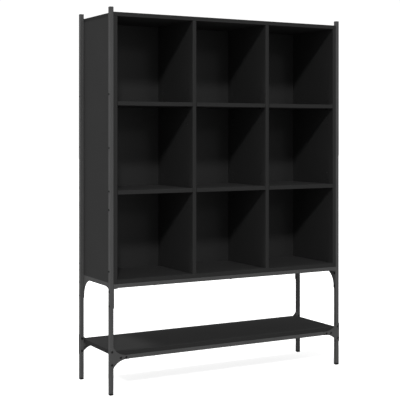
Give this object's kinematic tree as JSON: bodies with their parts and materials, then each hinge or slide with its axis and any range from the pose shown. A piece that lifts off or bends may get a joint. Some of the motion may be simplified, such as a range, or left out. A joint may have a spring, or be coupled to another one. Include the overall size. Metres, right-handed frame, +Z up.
{
  "type": "bookcase",
  "caption": "Tall open bookcase: a black panel cabinet of square cells with adjustable shelves, carried on slim square-tube steel legs with one low shelf between them.",
  "frame": {"origin": "on the floor, at the middle of the bookcase's width and depth", "axes": "+X to the right seen from the front, +Y towards the back, +Z up"},
  "size_m": [1.0246, 0.2986, 1.4],
  "materials": {
    "powder_coated_steel": "dark grey powder coat, fine satin texture",
    "black_board": "black melamine-faced chipboard, matt",
    "back_sheet": "black lacquered hardboard, matt",
    "grey_plastic": "moulded dark grey plastic",
    "black_plastic": "moulded black plastic",
    "black_fasteners": "black oxide",
    "zinc_steel": "zinc plated",
    "beech": "bare wood"
  },
  "bodies": {
    "cabinet_and_frame": {"upright_front_left": "powder_coated_steel", "gusset_front_left": "powder_coated_steel", "top_cap_front_left": "grey_plastic", "foot_front_left": "black_plastic", "upright_front_right": "powder_coated_steel", "gusset_front_right": "powder_coated_steel", "top_cap_front_right": "grey_plastic", "foot_front_right": "black_plastic", "cabinet_front_rail": "powder_coated_steel", "low_front_rail": "powder_coated_steel", "upright_back_left": "powder_coated_steel", "gusset_back_left": "powder_coated_steel", "top_cap_back_left": "grey_plastic", "foot_back_left": "black_plastic", "upright_back_right": "powder_coated_steel", "gusset_back_right": "powder_coated_steel", "top_cap_back_right": "grey_plastic", "foot_back_right": "black_plastic", "cabinet_back_rail": "powder_coated_steel", "low_back_rail": "powder_coated_steel", "side_arch_left": "powder_coated_steel", "side_panel_left": "black_board", "divider_left": "black_board", "side_arch_right": "powder_coated_steel", "side_panel_right": "black_board", "divider_right": "black_board", "top_board": "black_board", "bottom_board": "black_board", "low_shelf_board": "black_board", "back_panel": "back_sheet", "arch_bolts": "black_fasteners", "arch_nuts": "black_fasteners", "gusset_bolts": "black_fasteners", "gusset_nuts": "black_fasteners", "panel_screws": "black_fasteners", "cabinet_rail_screws": "black_fasteners", "low_shelf_screws": "black_fasteners", "tab_screws": "black_fasteners", "shelf_pins": "black_fasteners", "carcass_dowels": "beech", "joint_screws": "zinc_steel", "cam_locks": "zinc_steel", "cam_bolts": "zinc_steel", "back_panel_nails": "zinc_steel"},
    "shelf_left_lower": {"shelf_left_lower": "black_board"},
    "shelf_left_upper": {"shelf_left_upper": "black_board"},
    "shelf_middle_lower": {"shelf_middle_lower": "black_board"},
    "shelf_middle_upper": {"shelf_middle_upper": "black_board"},
    "shelf_right_lower": {"shelf_right_lower": "black_board"},
    "shelf_right_upper": {"shelf_right_upper": "black_board"}
  },
  "joints": [
    {"name": "shelf_left_lower_draw", "type": "slide", "parent": "cabinet_and_frame", "child": "shelf_left_lower", "axis": [0, -1, 0], "range_m": [0, 0.29]},
    {"name": "shelf_left_upper_draw", "type": "slide", "parent": "cabinet_and_frame", "child": "shelf_left_upper", "axis": [0, -1, 0], "range_m": [0, 0.29]},
    {"name": "shelf_middle_lower_draw", "type": "slide", "parent": "cabinet_and_frame", "child": "shelf_middle_lower", "axis": [0, -1, 0], "range_m": [0, 0.29]},
    {"name": "shelf_middle_upper_draw", "type": "slide", "parent": "cabinet_and_frame", "child": "shelf_middle_upper", "axis": [0, -1, 0], "range_m": [0, 0.29]},
    {"name": "shelf_right_lower_draw", "type": "slide", "parent": "cabinet_and_frame", "child": "shelf_right_lower", "axis": [0, -1, 0], "range_m": [0, 0.29]},
    {"name": "shelf_right_upper_draw", "type": "slide", "parent": "cabinet_and_frame", "child": "shelf_right_upper", "axis": [0, -1, 0], "range_m": [0, 0.29]}
  ]
}
